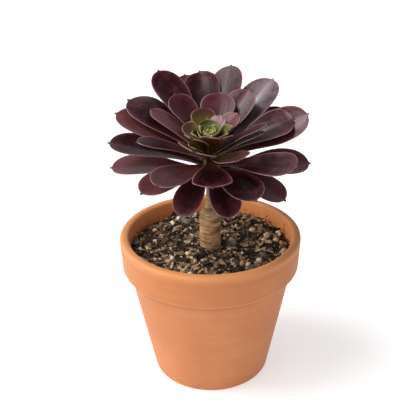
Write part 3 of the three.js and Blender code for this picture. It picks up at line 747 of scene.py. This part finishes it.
def leaf_skin():
    material, nodes, links, surface = new_material("leaf_skin")

    def times(first, second):
        return sums(nodes, links, "MULTIPLY", first, second)

    def plus(first, second):
        return sums(nodes, links, "ADD", first, second)

    age, margin, length_share, under, red, olive, shine = (layer(nodes, name) for name in LEAF_LAYERS)
    clouds = grain(nodes, links, mapped(nodes, links, (1, 1, 1)), 48.0, 4.0)
    blotches = grain(nodes, links, mapped(nodes, links, (1, 1, 1)), 150.0, 4.0)
    streak = streaked(nodes, links, (1.3, 17, 1), 3.0)
    fine = streaked(nodes, links, (3, 60, 1), 2.0)
    # Old leaves are near black in the middle, and plum towards the margin.
    dark = ramp(nodes, links, clouds, [
        (0.3, (0.011, 0.0025, 0.0038)), (0.5, (0.017, 0.0035, 0.0052)), (0.7, (0.027, 0.005, 0.0068)),
    ])
    plum = ramp(nodes, links, clouds, [
        (0.3, (0.064, 0.013, 0.022)), (0.5, (0.090, 0.019, 0.030)), (0.7, (0.124, 0.028, 0.039)),
    ])
    wander = plus(streak, -0.5)
    border = mask(nodes, links, plus(margin, wander), [(0.0, 1), (0.5, 0)])
    old = blend(nodes, links, times(border, 0.85), dark, plum)
    young = ramp(nodes, links, clouds, [
        (0.3, (0.066, 0.015, 0.023)), (0.5, (0.102, 0.026, 0.037)), (0.7, (0.155, 0.047, 0.059)),
    ])
    skin = blend(nodes, links, age, old, young)
    # Some flush red-brown, and a worn mottling comes towards the ends of the old ones.
    skin = blend(nodes, links, times(red, times(plus(clouds, 0.3), 0.8)), skin, (0.195, 0.060, 0.060))
    worn = mask(nodes, links, plus(times(length_share, 0.55), times(blotches, 0.9)), [(0.88, 0), (1.0, 0.3)])
    skin = blend(nodes, links, times(worn, plus(1.0, times(age, -1.0))), skin, (0.13, 0.028, 0.026))
    # Towards the stem they turn red-brown, and the young ones olive green.
    foot = mask(nodes, links, plus(length_share, times(wander, 0.35)), [(0.2, 1), (0.6, 0)])
    red_foot = blend(nodes, links, under, (0.11, 0.016, 0.010), (0.12, 0.030, 0.012))
    skin = blend(nodes, links, times(foot, 0.8), skin, red_foot)
    spread = sums(nodes, links, "POWER", age, 1.5)
    past = plus(plus(length_share, times(wander, 0.4)), plus(times(spread, -0.62), times(olive, -1.0)))
    green_foot = mask(nodes, links, past, [(0.08, 1), (0.46, 0)])
    olive_brown = blend(nodes, links, age, (0.055, 0.024, 0.010), (0.062, 0.030, 0.012))
    green = blend(nodes, links, age, (0.065, 0.045, 0.010), (0.125, 0.105, 0.015))
    browner = mask(nodes, links, past, [(0.0, 0), (0.18, 1)])
    green = blend(nodes, links, browner, green, olive_brown)
    skin = blend(nodes, links, times(green_foot, 0.9), skin, green)
    back = blend(nodes, links, age, (0.050, 0.008, 0.012), (0.13, 0.012, 0.012))
    skin = blend(nodes, links, times(times(under, 0.75), plus(1.0, times(foot, -0.8))), skin, back)
    lines = ramp(nodes, links, plus(times(streak, 0.6), times(fine, 0.4)), [
        (0.38, (0.8, 0.79, 0.8)), (0.6, (1.15, 1.13, 1.15)),
    ])
    skin = blend(nodes, links, 0.6, skin, lines, "MULTIPLY")
    pale = mask(nodes, links, margin, [(0.0, 1), (0.045, 0.85), (0.095, 0)])
    rim_colour = blend(nodes, links, age, (0.30, 0.16, 0.17), (0.42, 0.24, 0.21))
    skin = blend(nodes, links, times(pale, 0.8), skin, rim_colour)
    point = mask(nodes, links, length_share, [(0.992, 0), (1.0, 1)])
    skin = blend(nodes, links, point, skin, (0.045, 0.02, 0.015))
    links.new(skin, surface.inputs["Base Color"])
    gloss = mask(nodes, links, blotches, [(0.35, 0.25), (0.65, 0.36)])
    links.new(gloss, surface.inputs["Roughness"])
    mottle = mask(nodes, links, plus(times(streak, 0.7), times(blotches, 0.3)), [(0.38, 0.34), (0.6, 0.64)])
    links.new(times(mottle, shine), surface.inputs["Specular IOR Level"])
    surface.inputs["Specular Tint"].default_value = (1.0, 0.9, 0.97, 1)
    relief = plus(times(streak, 0.5), plus(times(clouds, 0.5), times(fine, 0.06)))
    bumps(nodes, links, surface, relief, 0.5, 0.35)
    return material


def blade_mesh(bm, row, lift, age, shift, red=0.0, green=0.0, shine=1.0, rows=30, columns=14):
    layers = {name: bm.verts.layers.float[name] for name in LEAF_LAYERS}
    uv = bm.loops.layers.uv["blade"]
    grid = bmesh.ops.create_grid(bm, x_segments=rows, y_segments=columns, size=1)["verts"]
    for vert in grid:
        t, w = (vert.co.x + 1) / 2, vert.co.y
        s = 1 - (1 - t) ** 1.7
        v = math.copysign(1 - (1 - abs(w)) ** 1.5, w)
        vert[layers["length"]] = s
        vert[layers["margin"]] = v
        vert.co = (t, w, 0)
    faces = list({face for vert in grid for face in vert.link_faces})
    for face in faces:
        for loop in face.loops:
            s, v = loop.vert[layers["length"]], loop.vert[layers["margin"]]
            loop[uv].uv = (s + shift * 7.3, v * 0.5 + shift * 3.1)
    made = bmesh.ops.solidify(bm, geom=faces, thickness=SHELL)["geom"]
    for vert in dict.fromkeys(grid + [item for item in made if isinstance(item, bmesh.types.BMVert)]):
        s, v, below = vert[layers["length"]], vert[layers["margin"]], vert.co.z < -SHELL / 2
        point, over, forward, _, half = blade_point(row, s, v)
        side = -1 if below else 1
        groove = 0.0 if below else -0.18 * math.exp(-(v * 4) ** 2) * smooth(s, 0.1, 0.5)
        ripple = 0.35 * noise.noise(Vector((s * 3, v * 1.2, shift * 9))) * smooth(s, 0.2, 0.7) * v * v
        point = point + over * (side * thickness_at(s, v) / 2 + groove + ripple)
        tip = max(0, 1 - abs(v) * half / 0.75) * smooth(s, 0.985, 1)
        point = point + forward * min(POINT_LENGTH, row[4] / 14) * tip
        vert.co = to_world((point.x, point.y, point.z + soft_lift_at(lift, s, v)))
        length = math.hypot(row[1], row[2] - row[6])
        vert[layers["margin"]] = min(half * (1 - abs(v)), (1 - s) * length * 1.4) / 8
        vert[layers["age"]] = age
        vert[layers["red"]] = red
        vert[layers["green"]] = green
        vert[layers["shine"]] = shine * (0.4 if below else 1.0)
        vert[layers["under"]] = 1.0 if below else 0.0


def leaf_bmesh():
    bm = bmesh.new()
    for name in LEAF_LAYERS:
        bm.verts.layers.float.new(name)
    bm.loops.layers.uv.new("blade")
    return bm


leaf_material = leaf_skin()
for number, row in enumerate(LEAVES, 1):
    lift = lift_of(row)
    lay(row, lift)
    age = smooth(number / len(LEAVES), 0.55, 1.0)
    bm = leaf_bmesh()
    marks = RED_LEAVES.get(number, 0.0), GREEN_LEAVES.get(number, 0.0), SHINE.get(number, 1.0)
    blade_mesh(bm, row, lift, age, number, *marks)
    bmesh.ops.recalc_face_normals(bm, faces=bm.faces)
    add_piece(f"blade_{number:02d}", bm, leaf_material, [f"leaf_{number:02d}"])

# ---- heart ----
# The youngest leaves, still packed round the growing tip: upright, hollow, closing in on one
# another like a nest, and green with a pale edge.
CROWN_TOP = 25
HEART_LEAVES = 9
GOLDEN_ANGLE = 137.5
HEART_FOOT = CROWN_TOP + 1.2
HEART_CUP = 0.85
CORE_RADIUS = 2.6
# A few more that stand between the heart and the opened leaves beside it. Each row is laid out as in
# LEAVES, and ends with the foot's distance from the axis and how hollow the leaf is.
HALF_OPEN = [
    (-26, 13, 33, -10, 12, 0, 19.5, 0.66, 2.6, 0.8),
    (5, 15, 34, -10, 12, 0, 18.5, 0.66, 2.8, 0.8),
    (-164, 12, 32, -10, 12, 0, 18, 0.66, 2.8, 0.8),
    (-147, 16, 25.5, -6, 11, 0, 12.5, 0.66, 3.2, 0.7),
]


def heart_row(i):
    t = i / (HEART_LEAVES - 1)
    azimuth = 96 + i * GOLDEN_ANGLE
    back = math.sin(math.radians(azimuth))
    reach = 10 - 8 * t
    height = HEART_FOOT + 6.5 - t + 1.5 * back * (1 - t)
    foot = HEART_FOOT - 0.5 + 2.5 * t
    return (azimuth, reach, height, -24, 14 - 9 * t, 0, foot, 0.62, 2.4 - 1.6 * t, HEART_CUP)


def heart_skin():
    material, nodes, links, surface = new_material("heart_skin")
    clouds = grain(nodes, links, mapped(nodes, links, (1, 1, 1)), 160.0, 3.0)
    streak = streaked(nodes, links, (1.3, 17, 1), 3.0)
    face = ramp(nodes, links, clouds, [
        (0.3, (0.16, 0.21, 0.025)), (0.5, (0.30, 0.35, 0.05)), (0.7, (0.50, 0.50, 0.11)),
    ])
    outer = ramp(nodes, links, clouds, [(0.3, (0.055, 0.055, 0.010)), (0.6, (0.115, 0.12, 0.022))])
    skin = blend(nodes, links, layer(nodes, "age"), outer, face)
    lines = ramp(nodes, links, streak, [(0.35, (0.7, 0.68, 0.6)), (0.62, (1.2, 1.2, 1.1))])
    skin = blend(nodes, links, 0.6, skin, lines, "MULTIPLY")
    pale = mask(nodes, links, layer(nodes, "margin"), [(0.0, 1), (0.02, 0.7), (0.05, 0)])
    skin = blend(nodes, links, sums(nodes, links, "MULTIPLY", pale, 0.8), skin, (0.50, 0.33, 0.20))
    links.new(skin, surface.inputs["Base Color"])
    surface.inputs["Roughness"].default_value = 0.4
    surface.inputs["Specular IOR Level"].default_value = 0.4
    bumps(nodes, links, surface, clouds, 0.3)
    return material


def make_heart():
    bm = leaf_bmesh()
    flat = np.zeros((len(STATIONS), len(TOP_LINES)))
    for i in range(HEART_LEAVES):
        blade_mesh(bm, heart_row(i), flat, i / (HEART_LEAVES - 1), i + 0.5, rows=18, columns=12)
    for i, row in enumerate(HALF_OPEN):
        blade_mesh(bm, row, flat, 0.0, i + 20.5, rows=18, columns=12)
    core = bmesh.ops.create_uvsphere(bm, u_segments=20, v_segments=12, radius=1)["verts"]
    for vert in core:
        vert.co = to_world(vert.co * CORE_RADIUS + Vector((0, 0, HEART_FOOT + 1)))
    bmesh.ops.recalc_face_normals(bm, faces=bm.faces)
    add_piece("green_heart", bm, heart_skin(), ["heart"])


make_heart()

# ---- floor and light ----
# A white table that glows a little, a soft lamp high on the left, a stronger and wider one low on the
# left and a weak one in front, in a room pale low down and dark overhead for the leaves to mirror.
LAMP_FROM = Vector((-0.5, -0.04, 0.86))
FILL_FROM = Vector((-0.98, -0.12, 0.2))
FRONT_FROM = Vector((-0.5, -0.77, 0.38))
DARK_SIDE = (0.2, -0.2, 0.96)


def sun_lamp(name, source, strength, spread, colour):
    light = bpy.data.lights.new(name, "SUN")
    light.energy = strength
    light.angle = math.radians(spread)
    light.color = colour
    lamp = bpy.data.objects.new(name, light)
    lamp.rotation_euler = (-source).to_track_quat("-Z", "Y").to_euler()
    bpy.context.collection.objects.link(lamp)


def make_room():
    world = bpy.data.worlds.new("room")
    world.use_nodes = True
    nodes, links = world.node_tree.nodes, world.node_tree.links
    facing = nodes.new("ShaderNodeVectorMath")
    facing.operation = "DOT_PRODUCT"
    links.new(mapped(nodes, links, (1, 1, 1)), facing.inputs[0])
    facing.inputs[1].default_value = DARK_SIDE
    walls = ramp(nodes, links, facing.outputs["Value"], [
        (0.0, (0.8, 0.8, 0.81)), (0.5, (0.5, 0.5, 0.52)),
        (0.82, (0.32, 0.31, 0.34)), (0.96, (0.06, 0.058, 0.07)),
    ])
    background = nodes["Background"]
    links.new(walls, background.inputs["Color"])
    background.inputs["Strength"].default_value = 1.0
    bpy.context.scene.world = world


def make_studio():
    bm = bmesh.new()
    bmesh.ops.create_grid(bm, x_segments=1, y_segments=1, size=10)
    mesh = bpy.data.meshes.new("floor")
    bm.to_mesh(mesh)
    bm.free()
    floor = bpy.data.objects.new("floor", mesh)
    bpy.context.collection.objects.link(floor)
    material, nodes, links, surface = new_material("white_table")
    surface.inputs["Base Color"].default_value = (0.74, 0.745, 0.735, 1)
    surface.inputs["Roughness"].default_value = 0.9
    surface.inputs["Specular IOR Level"].default_value = 0.1
    surface.inputs["Emission Color"].default_value = (1, 1, 1, 1)
    surface.inputs["Emission Strength"].default_value = 0.5
    mesh.materials.append(material)
    make_room()
    sun_lamp("soft_lamp", LAMP_FROM, 1.75, 30, (1, 0.985, 0.99))
    sun_lamp("side_fill", FILL_FROM, 2.35, 70, (1, 0.985, 0.96))
    sun_lamp("front_fill", FRONT_FROM, 0.55, 60, (1, 0.985, 0.96))
    bpy.context.scene.view_settings.view_transform = "Standard"


make_studio()
